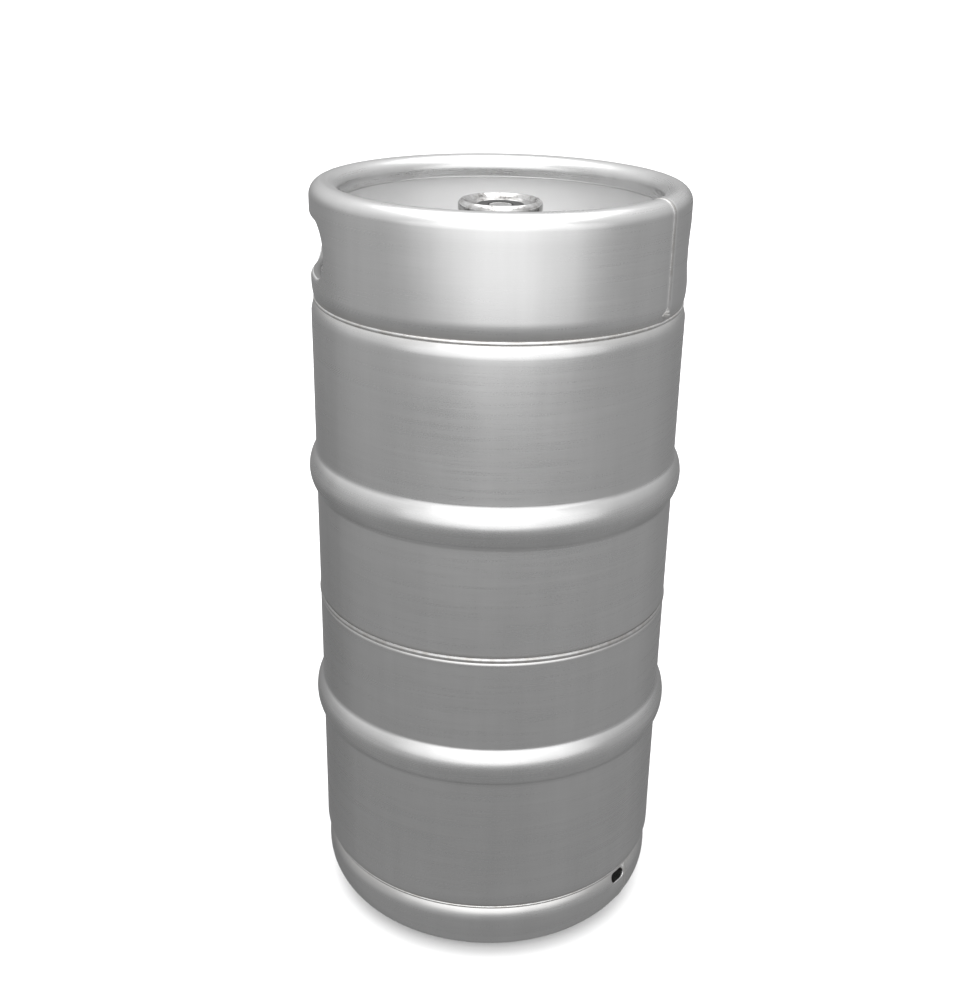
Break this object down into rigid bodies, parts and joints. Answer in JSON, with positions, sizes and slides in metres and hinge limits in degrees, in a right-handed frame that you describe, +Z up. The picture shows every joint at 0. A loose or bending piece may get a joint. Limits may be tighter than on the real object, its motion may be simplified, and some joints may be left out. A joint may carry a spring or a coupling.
{
  "type": "beer keg",
  "caption": "Slim stainless-steel beer keg with a rolled top collar, hand holds, rolling ribs, a foot chime and a flat-top dispensing spear with sprung valves.",
  "frame": {"origin": "centre of the foot's flat contact ring, on the floor", "axes": "+Z up along the keg's axis, +X through one hand hold and -X through the other, -Y towards the front"},
  "size_m": [0.2868, 0.2868, 0.5924],
  "materials": {
    "satin_steel": "satin, brushed round the keg",
    "weld_steel": "brushed weld bead with a faint heat tint",
    "bright_steel": "bright turned",
    "spring_steel": "drawn wire",
    "black_rubber": "matte black",
    "white_plastic": "moulded, off-white"
  },
  "bodies": {
    "keg": {"upper_shell": "satin_steel", "lower_shell": "satin_steel", "top_collar": "satin_steel", "bottom_chime": "satin_steel", "girth_weld": "weld_steel", "collar_weld": "weld_steel", "collar_seam_weld": "weld_steel", "chime_weld": "weld_steel", "chime_seam_weld": "weld_steel", "neck_weld": "weld_steel", "neck_socket": "bright_steel", "neck_gasket": "black_rubber", "spear_body": "bright_steel", "lock_ring": "spring_steel", "spring_retainer": "bright_steel", "guide_bush": "white_plastic", "gas_spring": "spring_steel"},
    "gas_valve": {"down_tube": "bright_steel", "valve_cup": "bright_steel", "gas_seal": "black_rubber", "spring_star": "bright_steel", "beer_spring": "spring_steel"},
    "beer_valve": {"beer_button": "bright_steel", "beer_seal": "black_rubber", "beer_washer": "bright_steel"}
  },
  "joints": [
    {"name": "gas_valve_press", "type": "slide", "parent": "keg", "child": "gas_valve", "axis": [0, 0, -1], "range_m": [0, 0.005], "stiffness_N_per_m": 2000, "springref_m": -0.006, "deforming": ["gas_spring"]},
    {"name": "beer_valve_press", "type": "slide", "parent": "gas_valve", "child": "beer_valve", "axis": [0, 0, -1], "range_m": [0, 0.004], "stiffness_N_per_m": 500, "springref_m": -0.005, "deforming": ["beer_spring"]}
  ]
}
